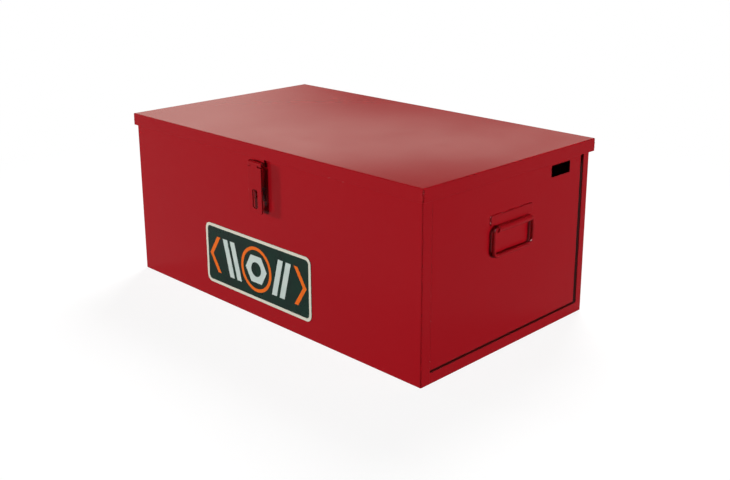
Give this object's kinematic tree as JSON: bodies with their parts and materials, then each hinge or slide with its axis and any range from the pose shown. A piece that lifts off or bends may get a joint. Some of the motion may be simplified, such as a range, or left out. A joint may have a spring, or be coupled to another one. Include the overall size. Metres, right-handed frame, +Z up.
{
  "type": "welder toolbox",
  "caption": "Steel chest with a flanged lift-up lid on a rear hinge, a front hasp, a swinging handle on each end and a lead slot at one end.",
  "frame": {"origin": "middle of the body's base, on the floor", "axes": "+Z up, +X along the width to the end with the lead slot, the front with the hasp faces -Y"},
  "size_m": [0.823, 0.482, 0.34],
  "materials": {
    "body_paint": "semi-gloss red enamel",
    "lid_paint": "semi-gloss red enamel",
    "hardware_paint": "semi-gloss red enamel",
    "badge": "satin printed plate",
    "pin_steel": "satin",
    "pin_paint": "semi-gloss red enamel"
  },
  "bodies": {
    "chest": {"front_panel": "body_paint", "right_end_panel": "body_paint", "left_end_panel": "body_paint", "back_panel": "body_paint", "bottom_panel": "body_paint", "badge_label": "badge", "hasp_staple": "hardware_paint", "hinge_body_leaf": "hardware_paint", "hinge_pin": "pin_steel", "handle_plate_right": "hardware_paint", "handle_plate_left": "hardware_paint"},
    "lid": {"lid_shell": "lid_paint", "lid_stiffener_left": "lid_paint", "lid_stiffener_right": "lid_paint", "hinge_lid_leaf": "hardware_paint", "hasp_leaf": "hardware_paint", "hasp_pin": "pin_paint"},
    "strap": {"hasp_strap": "hardware_paint"},
    "bail_right": {"handle_bail_right": "hardware_paint"},
    "bail_left": {"handle_bail_left": "hardware_paint"}
  },
  "joints": [
    {"name": "lid_hinge", "type": "hinge", "parent": "chest", "child": "lid", "pos_m": [0, 0.2343, 0.311], "axis": [-1, 0, 0], "range_deg": [0, 105]},
    {"name": "hasp_hinge", "type": "hinge", "parent": "lid", "child": "strap", "pos_m": [0, -0.237, 0.306], "axis": [-1, 0, 0], "range_deg": [-4, 150]},
    {"name": "bail_right_hinge", "type": "hinge", "parent": "chest", "child": "bail_right", "pos_m": [0.4055, -0.002, 0.231], "axis": [0, -1, 0], "range_deg": [-2, 170]},
    {"name": "bail_left_hinge", "type": "hinge", "parent": "chest", "child": "bail_left", "pos_m": [-0.4055, -0.002, 0.231], "axis": [0, 1, 0], "range_deg": [-2, 170]}
  ]
}
